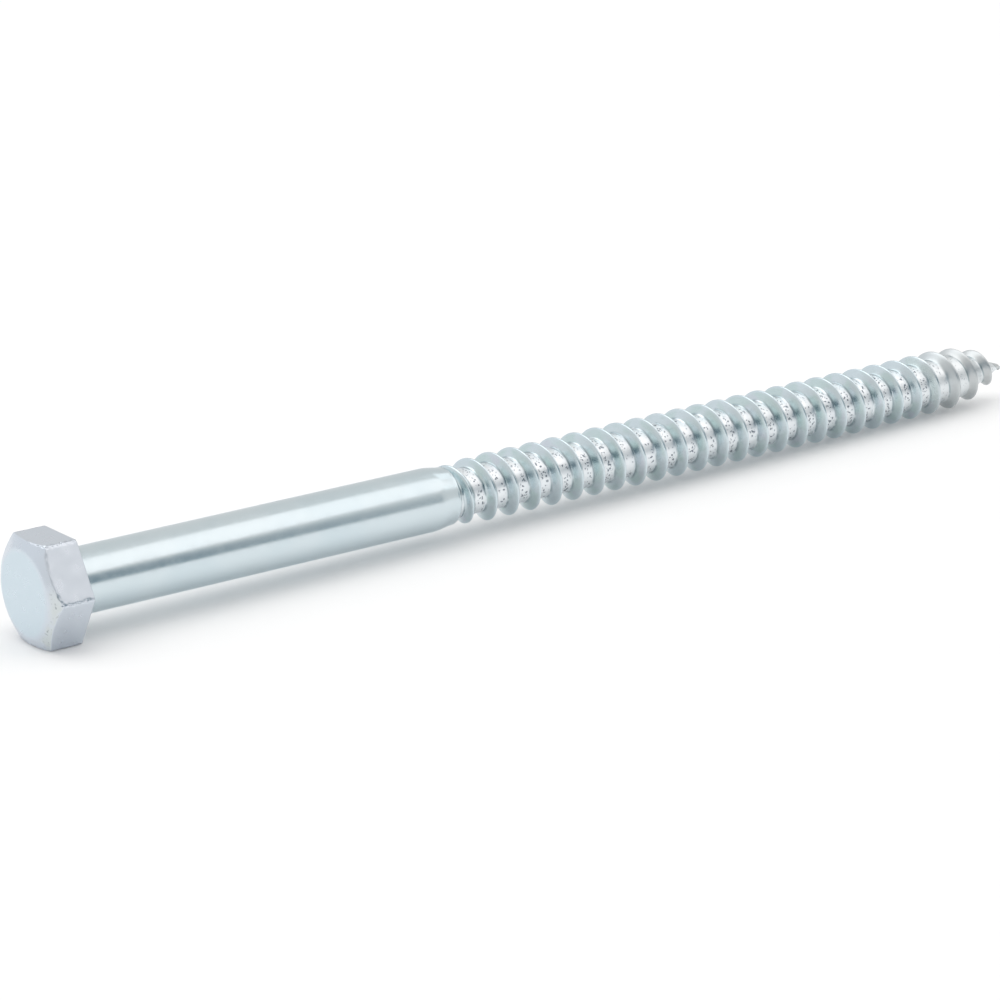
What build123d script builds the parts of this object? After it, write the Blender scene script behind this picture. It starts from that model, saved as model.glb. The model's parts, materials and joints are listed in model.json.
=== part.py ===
from build123d import *
import math
import os

# Coach screw: a hexagon-headed wood screw, forged and thread-rolled in one piece.
# It is drawn upright, with the bearing face under its head at Z = 0 and its point upwards,
# and is laid down on its side at the end. All sizes are in millimetres and degrees.

# Head
head_across_flats = 19.0
head_height = 8.0
head_flat_diameter = 15.85  # flat disc left on the outer end of the head by the chamfer
head_chamfer_angle = 30.0
underhead_flare = 0.6  # small cone where the shank runs into the head

# Shank
screw_length = 220.0  # bearing face to the end of the point
shank_diameter = 12.0
plain_length = 77.0  # full-diameter shank, up to the start of the neck
neck_length = 3.9
neck_diameter = 10.9  # the blank that the thread is rolled on
shoulder_angle = 60.0  # slope of the step from the neck down to the thread's root

# Thread
thread_pitch = 5.0
crest_diameter = 12.5
foot_diameter = 10.0  # the flanks end here, and the floor of the valley dips gently to the root
root_diameter = 9.0
flank_angle = 60.0
start_before_neck_end = 1.6  # the crest comes out of the neck this far from its end
start_angle = 260.0  # where it comes out, counted round from the level corner of the head
run_in_turns = 2.0
least_buried_turns = 0.5  # the thread begins inside the shank, at least this long before it comes out
core_cover = 0.3  # depth of the plain core below the root
seam_angle = 150.0  # turn of the core's seam from the joints of the thread's turns

# Point
core_point_length = 12.5  # cone that the core would end in, were it as thick as the root
tip_diameter = 0.6
point_pitch = 5.4  # the last turns are drawn out a little
point_embed = 0.15  # how far the thread reaches into that cone
crest_point_length = 17.0
crest_closing_gap = 2.3
thread_end_gap = 0.6  # the thread stops this far before that

crest_radius = crest_diameter / 2
root_radius = root_diameter / 2
neck_radius = neck_diameter / 2
shank_radius = shank_diameter / 2
tip_radius = tip_diameter / 2
core_radius = root_radius - core_cover
neck_end = plain_length + neck_length
crest_point_start = screw_length - crest_point_length
crest_closing = screw_length - crest_closing_gap
crest_out = neck_end - start_before_neck_end
thread_end = crest_closing - thread_end_gap


def make_head():
    """Hexagon, turned to a cone round its outer end."""
    corner_radius = head_across_flats / math.sqrt(3)
    flat_radius = head_flat_diameter / 2
    blank_radius = corner_radius + 1
    chamfer_depth = (blank_radius - flat_radius) * math.tan(math.radians(head_chamfer_angle))
    hexagon = extrude(RegularPolygon(corner_radius, 6), -head_height)
    profile = Polyline(
        (0, 0),
        (blank_radius, 0),
        (blank_radius, chamfer_depth - head_height),
        (flat_radius, -head_height),
        (0, -head_height),
        close=True,
    )
    turned_blank = revolve(Plane.XZ * make_face(profile))
    return hexagon & turned_blank


def point_cone_radius(z):
    slope = (root_radius - tip_radius) / core_point_length
    return tip_radius + slope * (screw_length - z)


def make_core():
    """Everything that is round about the axis: shank, neck, the core inside the thread, and the point."""
    flare_radius = shank_radius + underhead_flare
    shoulder_length = (neck_radius - core_radius) / math.tan(math.radians(shoulder_angle))
    cone_length = core_point_length * (core_radius - tip_radius) / (root_radius - tip_radius)
    outline = Polyline(
        (0, -head_height / 2),
        (flare_radius, -head_height / 2),
        (flare_radius, 0),
        (shank_radius, underhead_flare),
        (shank_radius, plain_length),
        (neck_radius, neck_end),
        (core_radius, neck_end + shoulder_length),
        (core_radius, screw_length - cone_length),
        (tip_radius, screw_length),
        (0, screw_length),
        close=True,
    )
    return revolve(Plane.XZ * make_face(outline))


def root_radius_at(z):
    return min(root_radius, point_cone_radius(z) - point_embed)


def crest_radius_at(z):
    if z > crest_point_start:
        along = (z - crest_point_start) / (crest_closing - crest_point_start)
        return crest_radius * math.sqrt(1 - along**2)
    risen = (z - crest_out) / (run_in_turns * thread_pitch)
    return min(crest_radius, neck_radius + risen * (crest_radius - neck_radius))


def crest_height(turn):
    """Height of the crest this many turns after it comes out of the neck."""
    level_turns = math.floor((crest_point_start - crest_out) / thread_pitch)
    level_end = crest_out + level_turns * thread_pitch
    if turn < level_turns:
        return crest_out + turn * thread_pitch
    return level_end + (turn - level_turns) * point_pitch


def turns_outside():
    level_turns = math.floor((crest_point_start - crest_out) / thread_pitch)
    return level_turns + (thread_end - crest_height(level_turns)) / point_pitch


def thread_sections():
    """Corners of the thread's outline, as (radius, height), at the start of each turn and at the end."""
    turns = math.ceil(turns_outside() + least_buried_turns)
    first_turn = turns_outside() - turns
    crests = [crest_height(first_turn + turn) for turn in range(-1, turns + 2)]
    foot_share = (foot_diameter - root_diameter) / (crest_diameter - root_diameter)
    flank_slope = math.tan(math.radians(flank_angle / 2))
    sections = []
    for before, z, after in zip(crests, crests[1:], crests[2:]):
        crest = crest_radius_at(z)
        root = root_radius_at(z)
        foot = root + foot_share * (crest - root)
        to_foot = (crest - foot) * flank_slope
        below = (before + z) / 2
        above = (z + after) / 2
        corners = [(root_radius_at(below), below), (foot, z - to_foot), (crest, z)]
        sections.append(corners + [(foot, z + to_foot), (root_radius_at(above), above)])
    return sections


def corner_helix(first, last):
    (first_radius, first_z), (last_radius, last_z) = first, last
    rise = last_z - first_z
    cone = math.atan2(last_radius - first_radius, rise)
    pitch_along_cone = rise / math.cos(cone)
    helix = Helix(pitch_along_cone, rise, first_radius, cone_angle=math.degrees(cone))
    return (Pos(0, 0, first_z) * helix).edge()


def make_thread():
    """Thread from its axis outwards: faces ruled between the helices of its corners, one turn at a time."""
    sections = thread_sections()
    faces = []
    valley = corner_helix(sections[0][0], sections[1][0])
    faces.append(end_ramp(sections[0][0], sections[1][0], valley))
    for first, last in zip(sections, sections[1:]):
        edges = [valley] + [corner_helix(a, b) for a, b in zip(first[1:], last[1:])]
        faces += [Face.make_surface_from_curves(a, b) for a, b in zip(edges, edges[1:])]
        valley = edges[-1]
    faces.append(end_ramp(sections[-2][-1], sections[-1][-1], valley))
    for corners in (sections[0], sections[-1]):
        outline = [(0, 0, corners[0][1])] + [(r, 0, z) for r, z in corners] + [(0, 0, corners[-1][1])]
        faces.append(make_face(Polyline(*outline, close=True)).face())
    return Solid(Shell(faces))


def end_ramp(first, last, valley):
    """Helical face from the axis out to the valley, which closes the thread over its first or last turn."""
    axis = Line((0, 0, first[1]), (0, 0, last[1])).edge()
    return Face.make_surface_from_curves(axis, valley)


def rest_tilt():
    """Angle by which the screw droops when it lies on a flat of its head and on a crest."""
    to_underside = (270 - start_angle) / 360
    whole_turns = math.floor((crest_point_start - crest_out) / thread_pitch - to_underside)
    contact = crest_out + (whole_turns + to_underside) * thread_pitch
    return math.degrees(math.atan((head_across_flats / 2 - crest_radius) / contact))


def make_coach_screw():
    shank = Rot(0, 0, seam_angle) * make_core() + make_thread()
    upright = Rot(0, 0, start_angle + 360 * turns_outside()) * shank + make_head()
    # the axis goes from Z to X, and the level corner of the head from X to Y
    lying = Plane(origin=(0, 0, 0), x_dir=(0, 1, 0), z_dir=(1, 0, 0)) * upright
    return Rot(0, rest_tilt(), 0) * lying


os.makedirs("parts", exist_ok=True)
export_step(make_coach_screw(), "parts/coach_screw.step")
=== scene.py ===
import json
import math

import bpy
from mathutils import Matrix, Vector, noise


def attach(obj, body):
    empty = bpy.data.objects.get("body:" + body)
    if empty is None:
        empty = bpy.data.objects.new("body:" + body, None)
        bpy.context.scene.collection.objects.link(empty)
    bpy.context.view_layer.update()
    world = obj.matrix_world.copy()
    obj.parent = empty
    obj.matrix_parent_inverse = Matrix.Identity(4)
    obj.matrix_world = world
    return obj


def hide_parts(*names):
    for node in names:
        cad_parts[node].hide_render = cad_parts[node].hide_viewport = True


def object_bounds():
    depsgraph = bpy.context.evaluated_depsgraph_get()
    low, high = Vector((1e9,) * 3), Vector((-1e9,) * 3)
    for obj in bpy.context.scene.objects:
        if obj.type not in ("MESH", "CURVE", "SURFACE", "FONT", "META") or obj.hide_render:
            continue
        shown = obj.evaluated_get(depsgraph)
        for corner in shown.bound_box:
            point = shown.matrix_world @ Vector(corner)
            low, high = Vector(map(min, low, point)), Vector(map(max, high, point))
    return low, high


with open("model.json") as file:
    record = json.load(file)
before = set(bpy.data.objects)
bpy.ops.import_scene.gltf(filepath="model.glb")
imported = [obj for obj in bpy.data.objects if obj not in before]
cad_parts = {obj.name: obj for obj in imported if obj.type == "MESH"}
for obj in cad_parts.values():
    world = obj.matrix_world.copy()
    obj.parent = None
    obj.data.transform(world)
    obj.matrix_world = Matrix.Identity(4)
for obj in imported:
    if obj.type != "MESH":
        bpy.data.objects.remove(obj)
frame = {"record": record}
cad_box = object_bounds()

# The skin is drawn in the screw's own frame, in millimetres: X runs along the axis from the bearing
# face under the head, Z is up across two flats of the head, and angles are counted from +Y to +Z.
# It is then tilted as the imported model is, and scaled to metres. A span is a pair of values between
# which something fades in, and it may run downwards.

# Head
head_across_flats = 19.0
head_height = 8.0
head_flat_radius = 7.925
head_chamfer_angle = 30.0
corner_rounding = 0.45
chamfer_rim_rounding = 0.5
chamfer_edge_rounding = 0.13
bearing_edge_rounding = 0.35
underhead_fillet = 0.6
disc_inner_ring = 0.6  # radius of the head's first ring, round the middle of its disc
bearing_inner_ring = 7.2  # radius of the head's last ring, on the bearing face outside the fillet

# Marks on the head, in degrees round it or from the middle of a flat
disc_span = (0.5, -1.0)  # millimetres from the disc's rim
worn_start = (150, 185)
worn_end = (275, 240)
worn_chamfer_span = (0.0, 0.5)  # share of the way across the chamfer
least_edge = 0.25  # nicks on the chamfer's edge away from the corners, as a share of those at them
near_corner_span = (8.0, 24.0)
corner_span = (27.3, 29.0)

# Shank and neck
shank_radius = 6.0
plain_length = 77.0
neck_end = 80.75
neck_radius = 5.45
shoulder_end = 80.95
lip_rise = 0.07
lip_rise_from = 0.6  # the lip rises between these two distances before the neck's end
lip_rise_to = 0.15
screw_length = 219.97  # under the head, as the plain length is

# Thread
thread_pitch = 5.0
point_pitch = 5.4
ridge_start = 79.3
start_angle = 260.0
level_turns = 24
start_fade = (-1.0, 1.2)  # around the ridge's start
run_in_turns = 2.0
crest_radius = 6.25
crest_swell = 0.12  # the middle of the thread is a little fatter, and its end a little thinner
swell_span = (100, 130)
thinning_span = (172, 197)
thinning = 1.6
root_radius = 4.5
crest_width = 0.30
crest_blend = 0.14
root_fillet = 0.3
flank_slope = math.tan(math.radians(60.0))  # radial drop for each millimetre along the axis

# Point
core_point_start = 207.5
tip_radius = 0.3
crest_point_start = 199.0
crest_closing = 217.5
closing_power = 2.6
ridge_end = 217.4
end_fade = 0.7  # before the ridge's end
point_bend = 0.33  # the end of the screw stands this far off the axis
bend_span = (182.0, 217.0)

# Towards the point the thread is softer: slacker flanks, wider roundings and fewer pits
soft_span = (192, 206)
slope_loss = 0.22
crest_blend_gain = 0.25
fillet_gain = 0.3
pits_loss = 0.7
flank_mask_loss = 0.6

# Blends between the parts of the core
shank_blend = 0.12
shoulder_blend = 0.05
root_blend = 0.10
point_blend = 0.5

# Masks of the thread, by the distance from the middle of the valley, from the foot or from the crest
mask_run_in = 1.5  # they all fade in this far after the shoulder
valley_span = (1.42, 1.12)
pits_span = (1.0, 0.45)
# The foot mask marks where shade is painted: a dark line in the crease at the foot of each ridge, and a
# ring behind the shoulder.
foot_from_middle = 1.26
foot_span = (0.20, 0.05)
flank_span = (0.15, 0.45)
shoulder_foot_at = 0.62  # after the neck's end
shoulder_foot_span = (0.30, 0.10)
low_span = (0.4, 0.1)  # height over the root

# Unevenness of the forged and rolled surface
axis_margin = 0.5  # points nearer to the axis stay where they are
dent_size = 0.015
thread_dent_size = 0.04
thread_dent_run_in = 4
slow_scale = 0.35
quick_scale = 1.3
slow_share = 0.6
nick_scale = 3.4
nick_depth = 0.5
nick_level = 0.12
lip_nick_depth = 0.30
lip_nick_level = 0.05
lip_nick_at = 0.03  # after the neck's end
lip_nick_span = (0.30, 0.08)

# Mesh
columns = 96
head_columns = 192
column_gathering = 0.28  # how far the head's columns are drawn to its corners
rounding_steps = 5
# rows in each stretch of the head's outline: disc, rim, chamfer, chamfer's edge, side, bearing edge
# and bearing face, where each step of a rounding is a stretch
rounding_rows = [1] * rounding_steps
head_rows = [14] + rounding_rows + [6] + rounding_rows + [32] + rounding_rows + [4]
chamfer_edge_stretches = range(7, 12)
first_corner_stretch = 10  # the nicks on the corners begin inside the chamfer's edge
fillet_steps = 6
after_fillet = 0.3
shank_step = 2.0
shank_rings_stop = 3  # before the end of the plain length
neck_rings_start = 1.0  # before it too, and closer together
neck_step = 0.12
shoulder_step = 0.05
shoulder_margin = 0.3  # the rings are close together this far round the shoulder
helix_from = 82.6  # the rows follow the helix from here
helix_to = 217.7   # to here
# millimetres from the crest
rows_across_ridge = [0.0, 0.09, 0.14, 0.19, 0.26, 0.45, 0.72, 0.98, 1.12, 1.22, 1.34, 1.55, 2.0]
tip_steps = 18
last_ring_gap = 0.1  # between the last ring and the tip
material_masks = ("valley", "pits", "flank", "foot", "point", "worn", "head", "disc")

# Studio: places in metres, angles in degrees, the lens in millimetres
camera_place = (-0.31055, -0.56450, 0.21536)
camera_angles = (72.3906, 1.9773, -36.2079)
camera_lens = 140.57
lamps_aim = (0.1, 0.0, 0.0)
floor_half_size = 6.0
floor_white = (0.90, 0.90, 0.90, 1)
floor_glow = 0.09
studio_colour = (0.76, 0.757, 0.752, 1)
backdrop_colour = (0.88, 0.90, 0.92, 1)
dark_colour = (0.12, 0.20, 0.25, 1)
towards_backdrop = (-0.52, 0.85, 0.0)

# Colours of the metal
zinc = (0.64, 0.735, 0.775, 1)
zinc_light = (0.67, 0.755, 0.79, 1)
flank_zinc = (0.64, 0.72, 0.755, 1)
green_film = (0.54, 0.665, 0.65, 1)
pink_film = (0.64, 0.65, 0.73, 1)
# the valleys are a lighter copy of the zinc, a painted highlight
valley_highlight_zinc = (0.87, 0.905, 0.93, 1)
# near the point the zinc is neutral, with painted shade on the ridges and a painted highlight in the
# valleys
point_ridge_shade_zinc = (0.61, 0.63, 0.635, 1)
point_valley_highlight_zinc = (0.78, 0.82, 0.835, 1)
# painted shade for the creases at the feet of the ridges and behind the shoulder
crease_shade_colour = (0.22, 0.30, 0.33, 1)
head_zinc = (0.66, 0.71, 0.77, 1)
disc_zinc = (0.62, 0.715, 0.775, 1)
worn_colour = (0.63, 0.67, 0.65, 1)
speck_colour = (0.30, 0.33, 0.35, 1)
pit_colour = (0.10, 0.13, 0.17, 1)

# Roughness of the bare zinc, and what the valleys, the point's ridges and the head have over it
smoothest = 0.19
roughest = 0.25
valley_roughness = 0.12
point_roughness = 0.18
head_roughness = 0.08

# Relief, in metres where it is a length
grain_on_thread = 0.12
grain_on_head = 0.03
relief_strength = 0.35
relief_depth = 0.0001
stir_distance = (0.0013, 0.0013, 0.0013)

shank_axis = next(m["axis"] for m in frame["record"]["mounts"] if m["name"] == "shank")
rest_tilt = math.atan2(-shank_axis[2], shank_axis[0])
to_row = Matrix.Rotation(rest_tilt, 3, "Y") * 0.001


def smooth_step(low, high, value):
    t = min(1.0, max(0.0, (value - low) / (high - low)))
    return t * t * (3 - 2 * t)


def soft_max(a, b, blend):
    overlap = max(blend - abs(a - b), 0.0) / blend
    return max(a, b) + overlap * overlap * blend / 4


def soft_min(a, b, blend):
    return -soft_max(-a, -b, blend)


def turn_at(x):
    """Turns of the ridge that lie before this place on the axis."""
    level_end = ridge_start + level_turns * thread_pitch
    if x < level_end:
        return (x - ridge_start) / thread_pitch
    return level_turns + (x - level_end) / point_pitch


def place_at(turn):
    if turn < level_turns:
        return ridge_start + turn * thread_pitch
    return ridge_start + level_turns * thread_pitch + (turn - level_turns) * point_pitch


def core_radius(x):
    """Shank, neck, root and point, without the ridge."""
    slope = (shank_radius - neck_radius) / (neck_end - plain_length)
    neck = soft_min(shank_radius, shank_radius - slope * (x - plain_length), shank_blend)
    neck += lip_rise * smooth_step(neck_end - lip_rise_from, neck_end - lip_rise_to, x)
    step = neck_radius - (x - neck_end) * (neck_radius - root_radius) / (shoulder_end - neck_end)
    body = soft_max(soft_min(neck, step, shoulder_blend), root_radius, root_blend)
    point_slope = (root_radius - tip_radius) / (screw_length - core_point_start)
    return soft_min(body, tip_radius + point_slope * (screw_length - x), point_blend)


def crest_radius_at(x):
    run_in = min(1.0, max(0.0, (x - ridge_start) / (run_in_turns * thread_pitch)))
    swell = crest_swell * (smooth_step(*swell_span, x) - thinning * smooth_step(*thinning_span, x))
    along = min(1.0, max(0.0, (x - crest_point_start) / (crest_closing - crest_point_start)))
    level = neck_radius + run_in * (crest_radius - neck_radius) + swell
    return level * math.sqrt(1 - along**closing_power)


def ridge_share(x, turn):
    """1 along the thread, falling to 0 at its start and at its end."""
    if turn_at(x) < 1 and round(turn) < 0:
        return 0.0
    started = smooth_step(ridge_start + start_fade[0], ridge_start + start_fade[1], x)
    ended = smooth_step(ridge_end - end_fade, ridge_end, x)
    return started * (1 - ended)


def thread_masks(x, radius, from_crest, from_middle, softness):
    """How much of a place is valley, pits, foot (where shade is painted into the crease), flank and
    point.
    """
    on_thread = smooth_step(shoulder_end, shoulder_end + mask_run_in, x)
    valley = smooth_step(*valley_span, from_middle) * on_thread
    pits = smooth_step(*pits_span, from_middle) * on_thread * (1 - pits_loss * softness)
    # painted shade in the crease at the foot of each ridge, and in the ring behind the shoulder
    foot = smooth_step(*foot_span, abs(from_middle - foot_from_middle)) * on_thread
    at_shoulder = smooth_step(*shoulder_foot_span, abs(x - neck_end - shoulder_foot_at))
    foot += at_shoulder * smooth_step(*low_span, radius - root_radius)
    flank = (1 - valley) * smooth_step(*flank_span, from_crest) * on_thread
    flank *= 1 - flank_mask_loss * softness
    return {"valley": valley, "pits": pits, "foot": foot, "flank": flank, "point": softness}


def surface(x, angle):
    """Radius at a place on the shank, neck, thread or point, with its masks."""
    core = core_radius(x)
    pitch = point_pitch if x > place_at(level_turns) else thread_pitch
    turn = turn_at(x) - (angle - start_angle) / 360
    from_crest = abs(turn - round(turn)) * pitch
    from_middle = abs(pitch / 2 - from_crest)
    softness = smooth_step(*soft_span, x)
    slope = flank_slope * (1 - slope_loss * softness)
    crest = crest_radius_at(x)
    flank = crest - slope * (from_crest - crest_width / 2)
    blend = crest_blend + crest_blend_gain * softness
    lost_to_blend = max(0.0, 1 - slope * crest_width / 2 / blend)**2 * blend / 4
    ridge = soft_min(crest, flank, blend) + lost_to_blend
    sunk = core - 1.0  # a ridge that has faded out lies this low, inside the core
    ridge = sunk + ridge_share(x, turn) * (ridge - sunk)
    radius = soft_max(core, ridge, root_fillet + fillet_gain * softness)
    return radius, thread_masks(x, radius, from_crest, from_middle, softness)


class Skin:
    """Points, faces and masks. The material reads the masks, and "edge" says where the nicks are."""

    def __init__(self):
        self.points = []
        self.faces = []
        self.masks = {name: [] for name in material_masks + ("edge",)}

    def point(self, x, radius, angle, **masks):
        turned = math.radians(angle)
        self.points.append((x, radius * math.cos(turned), radius * math.sin(turned)))
        for name, values in self.masks.items():
            values.append(masks.get(name, 0.0))
        return len(self.points) - 1

    def face(self, *corners):
        loop = [c for n, c in enumerate(corners) if c != corners[n - 1]]
        if len(loop) > 2:
            self.faces.append(loop)

    def bridge(self, first, second):
        """Faces between two rings. The first has as many points as the second, or a multiple."""
        share = len(first) // len(second)
        for n in range(len(second)):
            a = second[n]
            b = second[(n + 1) % len(second)]
            for m in range(share):
                c = first[n * share + m]
                d = first[(n * share + m + 1) % len(first)]
                if m == share - 1:
                    self.face(c, d, b, a)
                else:
                    self.face(c, d, a)

    def fan(self, ring, centre):
        for n in range(len(ring)):
            self.face(ring[n - 1], ring[n], centre)


def hexagon_radius(angle):
    """Distance from the axis to the head's side, with its corners rounded."""
    flat_at = 60 * round((angle - 30) / 60) + 30
    away = abs(angle - flat_at)
    side = head_across_flats / 2
    neighbour = side / math.cos(math.radians(60 - away))
    return soft_min(side / math.cos(math.radians(away)), neighbour, corner_rounding)


def head_angle(column):
    """Angles of the head's columns, closer together at its corners."""
    per_sector = head_columns // 6
    sector, step = divmod(column, per_sector)
    across = 2 * step / per_sector - 1
    warped = across + column_gathering * math.sin(math.pi * across)
    return 60 * sector + 30 + 30 * warped


def rounded(profile, roundings):
    """The profile with each inner corner replaced by a curve."""
    line = [profile[0]]
    for n, size in enumerate(roundings, 1):
        before, corner, after = (Vector(p) for p in profile[n - 1:n + 2])
        start = corner + (before - corner).normalized() * size
        end = corner + (after - corner).normalized() * size
        for k in range(rounding_steps + 1):
            t = k / rounding_steps
            line.append(tuple(start * (1 - t)**2 + corner * 2 * t * (1 - t) + end * t**2))
    line.append(profile[-1])
    return line


def head_line(angle):
    """(place, radius) down one column of the head, from its outer disc to the bearing face."""
    side = hexagon_radius(angle)
    chamfer_depth = (side - head_flat_radius) * math.tan(math.radians(head_chamfer_angle))
    disc_middle = (-head_height, disc_inner_ring)
    disc_rim = (-head_height, head_flat_radius)
    chamfer_end = (-head_height + chamfer_depth, side)
    profile = [disc_middle, disc_rim, chamfer_end, (0.0, side), (0.0, bearing_inner_ring)]
    return rounded(profile, [chamfer_rim_rounding, chamfer_edge_rounding, bearing_edge_rounding])


def head_masks(r, angle, stretch):
    """The disc, the worn part of the chamfer, and the edges that carry nicks, mostly near corners."""
    outer = float(stretch <= chamfer_edge_stretches[0])
    disc = smooth_step(head_flat_radius + disc_span[0], head_flat_radius + disc_span[1], r) * outer
    across_chamfer = (r - head_flat_radius) / (hexagon_radius(angle) - head_flat_radius)
    worn_side = smooth_step(*worn_start, angle) * smooth_step(*worn_end, angle)
    worn = worn_side * smooth_step(*worn_chamfer_span, across_chamfer) * outer
    from_flat = abs((angle % 60) - 30)
    edge = 0.0
    if stretch in chamfer_edge_stretches:
        edge = least_edge + (1 - least_edge) * smooth_step(*near_corner_span, from_flat)
    if stretch >= first_corner_stretch:
        edge = max(edge, smooth_step(*corner_span, from_flat))
    return {"head": 1.0, "disc": disc, "worn": worn, "edge": edge}


def add_head(skin):
    rows = []
    for column in range(head_columns):
        angle = head_angle(column)
        line = head_line(angle)
        places = [(line[0], 0)]
        for n, pieces in enumerate(head_rows):
            a, b = Vector(line[n]), Vector(line[n + 1])
            places += [(tuple(a.lerp(b, k / pieces)), n) for k in range(1, pieces + 1)]
        rows.append([(x, r, angle, n) for (x, r), n in places])
    rings = []
    for row in zip(*rows):
        rings.append([skin.point(x, r, angle, **head_masks(r, angle, n)) for x, r, angle, n in row])
    for first, second in zip(rings, rings[1:]):
        skin.bridge(first, second)
    skin.fan(rings[0][::-1], skin.point(-head_height, 0.0, 0.0, head=1.0, disc=1.0))
    return rings[-1]


def column_angle(column):
    return start_angle + 360 * column / columns


def add_ring(skin, x, radius_at=None):
    """A plain ring, on the thread's surface or at a radius of its own."""
    ring = []
    for column in range(columns):
        angle = column_angle(column)
        if radius_at is None:
            radius, masks = surface(x, angle)
        else:
            radius, masks = radius_at, {}
        ring.append(skin.point(x, radius, angle, **masks))
    return ring


def ring_places():
    """Places of the plain rings between the fillet and the helical rows."""
    places = [underhead_fillet + after_fillet, shank_step]
    while places[-1] < plain_length - shank_rings_stop:
        places.append(places[-1] + shank_step)
    x = plain_length - neck_rings_start
    while x < helix_from - shoulder_step:
        places.append(x)
        near_shoulder = neck_end - shoulder_margin < x < shoulder_end + shoulder_margin
        x += shoulder_step if near_shoulder else neck_step
    return places


def add_thread(skin):
    """Rows that run along the helix. Their ends are gathered into a ring at either end."""
    half = sorted(rows_across_ridge)
    mirrored = [thread_pitch - d for d in reversed(half[1:])]
    offsets = [d / thread_pitch for d in half + [thread_pitch / 2] + mirrored]
    rows = len(offsets)
    first_ring = add_ring(skin, helix_from)
    last_ring = add_ring(skin, helix_to)
    first_turn = math.floor(turn_at(helix_from)) - 1
    last_turn = math.ceil(turn_at(helix_to)) + 1
    grid = []
    for row in range((last_turn - first_turn) * rows):
        turn = first_turn + row // rows + offsets[row % rows]
        line = []
        for column in range(columns):
            x = place_at(turn + column / columns)
            if x <= helix_from:
                line.append(first_ring[column])
            elif x >= helix_to:
                line.append(last_ring[column])
            else:
                angle = column_angle(column)
                radius, masks = surface(x, angle)
                line.append(skin.point(x, radius, angle, **masks))
        grid.append(line)
    for row in range(len(grid) - 1):
        here, above = grid[row], grid[row + 1]
        for column in range(columns - 1):
            skin.face(here[column], here[column + 1], above[column + 1], above[column])
        # the last column meets the first one a turn further on
        after = grid[min(row + rows, len(grid) - 1)][0]
        after_next = grid[min(row + 1 + rows, len(grid) - 1)][0]
        skin.face(here[-1], after, after_next, above[-1])
    return first_ring, last_ring


def add_shank(skin, head_ring):
    """Fillet, shank, neck, thread and point, joined to the head's last ring."""
    rings = []
    for step in range(fillet_steps + 1):
        turned = math.radians(90 * step / fillet_steps)
        x = underhead_fillet * (1 - math.cos(turned))
        radius = shank_radius + underhead_fillet * (1 - math.sin(turned))
        rings.append(add_ring(skin, x, radius))
    skin.bridge(head_ring, rings[0])
    rings += [add_ring(skin, x) for x in ring_places()]
    first_ring, last_ring = add_thread(skin)
    rings.append(first_ring)
    for first, second in zip(rings, rings[1:]):
        skin.bridge(first, second)
    tip_rings = [last_ring]
    tip_length = screw_length - last_ring_gap - helix_to
    for step in range(1, tip_steps + 1):
        tip_rings.append(add_ring(skin, helix_to + tip_length * step / tip_steps))
    for first, second in zip(tip_rings, tip_rings[1:]):
        skin.bridge(first, second)
    skin.fan(tip_rings[-1], skin.point(screw_length, 0.0, 0.0))


def uneven(point, on_head, edge):
    """The point moved by the small inward dents and nicks, and by the bend of the screw's end."""
    place = Vector(point)
    outward = Vector((0, place.y, place.z))
    if outward.length < axis_margin:
        return place
    outward.normalize()
    on_thread = smooth_step(plain_length, plain_length + thread_dent_run_in, place.x)
    size = dent_size + thread_dent_size * on_thread
    slow = noise.noise(place * slow_scale + Vector((11.0, 3.0, 7.0)))
    quick = noise.noise(place * quick_scale + Vector((2.0, 9.0, 4.0)))
    depth = size * (0.5 + 0.5 * (slow_share * slow + (1 - slow_share) * quick))
    if on_head:
        nick = noise.noise(place * nick_scale + Vector((5.0, 1.0, 8.0)))
        depth = nick_depth * edge * max(0.0, nick - nick_level) + dent_size * (1 + slow)
    lip = smooth_step(*lip_nick_span, abs(place.x - neck_end - lip_nick_at))
    if lip > 0:
        depth += lip_nick_depth * lip * max(0.0, noise.noise(place * nick_scale) + lip_nick_level)
    place -= outward * depth
    place.z += point_bend * smooth_step(*bend_span, place.x)
    return place


def build_screw():
    skin = Skin()
    add_shank(skin, add_head(skin))
    mesh = bpy.data.meshes.new("coach_screw_skin")
    on_head = [value > 0.5 for value in skin.masks["head"]]
    points = [to_row @ uneven(*row) for row in zip(skin.points, on_head, skin.masks["edge"])]
    mesh.from_pydata(points, [], skin.faces)
    for name in material_masks:
        attribute = mesh.attributes.new(name, "FLOAT", "POINT")
        attribute.data.foreach_set("value", skin.masks[name])
    mesh.validate()
    mesh.shade_smooth()
    screw = bpy.data.objects.new("coach_screw_skin", mesh)
    bpy.context.scene.collection.objects.link(screw)
    return screw


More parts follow.
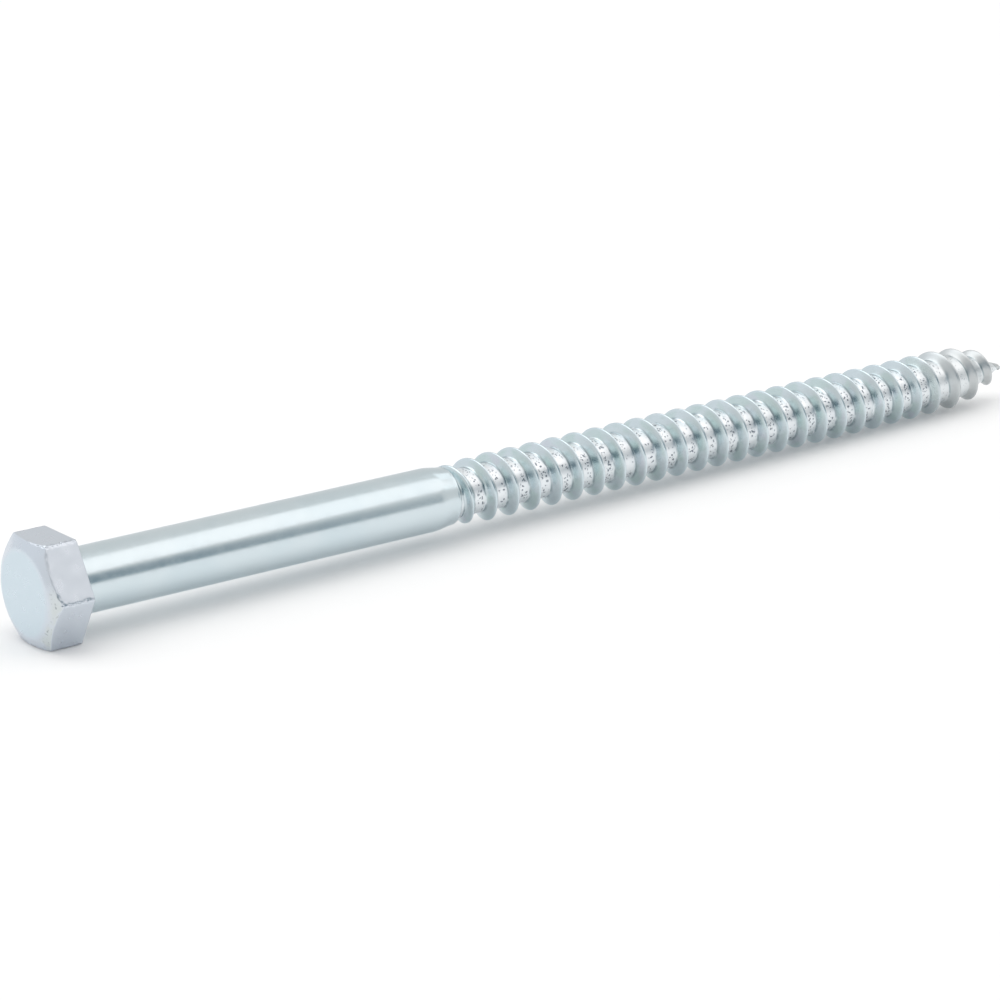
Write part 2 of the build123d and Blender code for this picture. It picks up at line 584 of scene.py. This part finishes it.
class Nodes:
    """A short way to write a node tree."""

    def __init__(self, tree):
        self.tree = tree
        tree.nodes.clear()

    def add(self, kind, inputs=None, **settings):
        node = self.tree.nodes.new(kind)
        for name, value in settings.items():
            setattr(node, name, value)
        for name, value in (inputs or {}).items():
            if isinstance(value, bpy.types.NodeSocket):
                self.tree.links.new(value, node.inputs[name])
            else:
                node.inputs[name].default_value = value
        return node

    def math(self, operation, a, b):
        return self.add("ShaderNodeMath", {0: a, 1: b}, operation=operation).outputs[0]

    def vector(self, operation, a, b):
        return self.add("ShaderNodeVectorMath", {0: a, 1: b}, operation=operation).outputs

    def span(self, value, low, high, to_low=0.0, to_high=1.0):
        """Value from low to high, clamped and carried to another span, with soft ends."""
        node = self.add("ShaderNodeMapRange", {0: value, 1: low, 2: high, 3: to_low, 4: to_high},
                        interpolation_type="SMOOTHSTEP")
        return node.outputs[0]

    def mix(self, factor, a, b):
        return self.add("ShaderNodeMix", {0: factor, 6: a, 7: b}, data_type="RGBA").outputs[2]

    def layer(self, under, over, mask, strength):
        """A colour laid over another where the mask says, as strongly as asked."""
        return self.mix(self.math("MULTIPLY", mask, strength), under, over)

    def noise(self, place, scale, detail=2.0, roughness=0.5):
        return self.add("ShaderNodeTexNoise", {"Vector": place, "Scale": scale, "Detail": detail,
                                               "Roughness": roughness}).outputs[0]


def zinc_material():
    """Bright zinc, with films and pits in the thread, painted shade in the creases at the feet of its
    ridges, lighter zinc as a painted highlight in its valleys, and wear on the head's chamfer.
    """
    material = bpy.data.materials.new("bright_zinc")
    material.use_nodes = True
    n = Nodes(material.node_tree)
    place = n.add("ShaderNodeTexCoord").outputs["Object"]
    mask = {name: n.add("ShaderNodeAttribute", attribute_name=name).outputs["Fac"]
            for name in material_masks}

    tint = n.span(n.noise(place, scale=90.0), low=0.35, high=0.65)
    colour = n.mix(tint, zinc, zinc_light)
    colour = n.mix(mask["flank"], colour, flank_zinc)
    green = n.span(n.noise(place, scale=230.0, detail=1.0), low=0.42, high=0.60)
    green = n.math("MULTIPLY", green, mask["flank"])
    colour = n.layer(colour, green_film, green, strength=0.65)
    pink = n.span(n.noise(place, scale=190.0, detail=1.0), low=0.42, high=0.30)
    pink = n.math("MULTIPLY", pink, mask["flank"])
    colour = n.layer(colour, pink_film, pink, strength=0.5)
    # painted highlight: the valleys get the lighter copy of the zinc
    colour = n.mix(mask["valley"], colour, valley_highlight_zinc)
    # near the point: neutral zinc, darker ridges as painted shade and lighter valleys as a painted
    # highlight
    point_shade_and_highlight = n.mix(mask["valley"], point_ridge_shade_zinc, point_valley_highlight_zinc)
    colour = n.layer(colour, point_shade_and_highlight, mask["point"], strength=0.9)
    # painted shade: a dark, broken line in the crease at the foot of each ridge and behind the shoulder
    crease_shade = n.span(n.noise(place, scale=400.0, detail=1.0), low=0.32, high=0.55)
    crease_shade = n.math("MULTIPLY", mask["foot"], crease_shade)
    colour = n.layer(colour, crease_shade_colour, crease_shade, strength=0.85)
    colour = n.mix(mask["head"], colour, head_zinc)
    colour = n.mix(mask["disc"], colour, disc_zinc)

    worn = n.span(n.noise(place, scale=330.0, detail=3.0), low=0.34, high=0.60)
    worn = n.math("MULTIPLY", worn, mask["worn"])
    colour = n.layer(colour, worn_colour, worn, strength=0.7)
    speck = n.span(n.noise(place, scale=1900.0, detail=2.0), low=0.60, high=0.66)
    speck = n.math("MULTIPLY", speck, worn)
    colour = n.layer(colour, speck_colour, speck, strength=0.7)

    # pits are the cores of small cells, stirred so that they aren't round, and come in clusters
    stirred = n.add("ShaderNodeTexNoise", {"Vector": place, "Scale": 900.0}).outputs["Color"]
    stirred = n.vector("MULTIPLY", stirred, stir_distance)[0]
    stirred = n.vector("ADD", place, stirred)[0]
    cells = n.add("ShaderNodeTexVoronoi", {"Vector": stirred, "Scale": 1700.0}).outputs["Distance"]
    clusters = n.span(n.noise(place, scale=520.0, detail=1.0), low=0.34, high=0.44)
    pit = n.math("MULTIPLY", n.span(cells, low=0.40, high=0.26), clusters)
    pit = n.math("MULTIPLY", pit, mask["pits"])
    colour = n.layer(colour, pit_colour, pit, strength=0.9)

    rough = n.noise(place, scale=500.0, detail=3.0)
    rough = n.span(rough, low=0.3, high=0.7, to_low=smoothest, to_high=roughest)
    rough = n.math("ADD", rough, n.math("MULTIPLY", mask["valley"], valley_roughness))
    point_ridge = n.math("MULTIPLY", mask["point"], n.math("SUBTRACT", 1.0, mask["valley"]))
    rough = n.math("ADD", rough, n.math("MULTIPLY", point_ridge, point_roughness))
    rough = n.math("ADD", rough, n.math("MULTIPLY", mask["head"], head_roughness))
    grain = n.noise(place, scale=2500.0, detail=3.0, roughness=0.6)
    grain_height = n.span(mask["head"], 0.0, 1.0, to_low=grain_on_thread, to_high=grain_on_head)
    grain = n.math("MULTIPLY", grain, grain_height)
    height = n.math("SUBTRACT", grain, pit)
    bump = n.add("ShaderNodeBump", {"Strength": relief_strength, "Distance": relief_depth,
                                    "Height": height}).outputs[0]
    shader = n.add("ShaderNodeBsdfPrincipled", {"Base Color": colour, "Metallic": 1.0, "Roughness": rough,
                                                "Normal": bump})
    n.add("ShaderNodeOutputMaterial", {"Surface": shader.outputs[0]})
    return material


def seen_directly(n):
    """1 for rays from the camera and for those mirrored or let through by the object."""
    path = n.add("ShaderNodeLightPath").outputs
    seen = n.math("MAXIMUM", path["Is Camera Ray"], path["Is Glossy Ray"])
    return n.math("MAXIMUM", seen, path["Is Transmission Ray"])


def add_floor(height):
    """A matt white floor that takes the shadow, and is lifted a little where it is seen."""
    half = floor_half_size
    corners = [(-half, -half, height), (half, -half, height), (half, half, height), (-half, half, height)]
    mesh = bpy.data.meshes.new("floor")
    mesh.from_pydata(corners, [], [(0, 1, 2, 3)])
    floor = bpy.data.objects.new("floor", mesh)
    bpy.context.scene.collection.objects.link(floor)
    material = bpy.data.materials.new("pale_floor")
    material.use_nodes = True
    n = Nodes(material.node_tree)
    matt = n.add("ShaderNodeBsdfDiffuse", {"Color": floor_white}).outputs[0]
    strength = n.math("MULTIPLY", seen_directly(n), floor_glow)
    glow = n.add("ShaderNodeEmission", {"Strength": strength}).outputs[0]
    both = n.add("ShaderNodeAddShader", {0: matt, 1: glow}).outputs[0]
    n.add("ShaderNodeOutputMaterial", {"Surface": both})
    mesh.materials.append(material)


def add_world():
    """Pale studio, lighter behind the screw, with a dark stretch low in front of it. The bearings
    are in radians from +X, and the rise is the sine of the height over the horizon."""
    world = bpy.data.worlds.new("studio")
    world.use_nodes = True
    bpy.context.scene.world = world
    n = Nodes(world.node_tree)
    direction = n.add("ShaderNodeTexCoord").outputs["Generated"]
    x, y, rise = n.add("ShaderNodeSeparateXYZ", {0: direction}).outputs
    bearing = n.math("ARCTAN2", y, x)
    right_end = n.span(bearing, low=-0.89, high=-1.11)
    left_end = n.span(bearing, low=-2.75, high=-2.40)
    dark = n.math("MULTIPLY", right_end, left_end)
    dark = n.math("MULTIPLY", dark, n.span(rise, low=0.52, high=0.38))
    behind = n.vector("DOT_PRODUCT", direction, towards_backdrop)[1]
    behind = n.span(behind, low=0.35, high=0.90)
    colour = n.mix(behind, studio_colour, backdrop_colour)
    colour = n.mix(dark, colour, dark_colour)
    background = n.add("ShaderNodeBackground", {"Color": colour, "Strength": 1.0}).outputs[0]
    n.add("ShaderNodeOutputWorld", {"Surface": background})


def add_lamp(name, place, size, power, colour=(1, 1, 1)):
    """A soft panel that faces the screw. The power is in watts."""
    data = bpy.data.lights.new(name, "AREA")
    data.shape = "RECTANGLE"
    data.size, data.size_y = size
    data.energy = power
    data.color = colour
    lamp = bpy.data.objects.new(name, data)
    lamp.location = place
    lamp.rotation_euler = (Vector(lamps_aim) - Vector(place)).to_track_quat("-Z", "Y").to_euler()
    bpy.context.scene.collection.objects.link(lamp)


def add_camera():
    data = bpy.data.cameras.new("camera")
    data.sensor_width = 36.0
    data.lens = camera_lens
    data.clip_start = 0.01
    camera = bpy.data.objects.new("camera", data)
    camera.location = camera_place
    camera.rotation_euler = [math.radians(a) for a in camera_angles]
    bpy.context.scene.collection.objects.link(camera)
    bpy.context.scene.camera = camera


bpy.context.scene.view_settings.view_transform = "Standard"
screw = build_screw()
screw.data.materials.append(zinc_material())
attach(screw, "root")
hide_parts("coach_screw")

lowest = cad_box[0][2]
add_floor(lowest)
add_world()
add_lamp("softbox", (1.20, -0.76, 1.64), (1.8, 1.3), 4.15, (1.0, 0.93, 0.91))
add_lamp("side_panel", (1.97, 0.53, 1.72), (1.05, 0.6), 1.1)
add_lamp("low_panel", (1.85, -0.91, 1.13), (0.55, 0.35), 0.33)
add_lamp("overhead", (-0.35, 0.40, 1.90), (1.9, 2.3), 13.5)
add_camera()
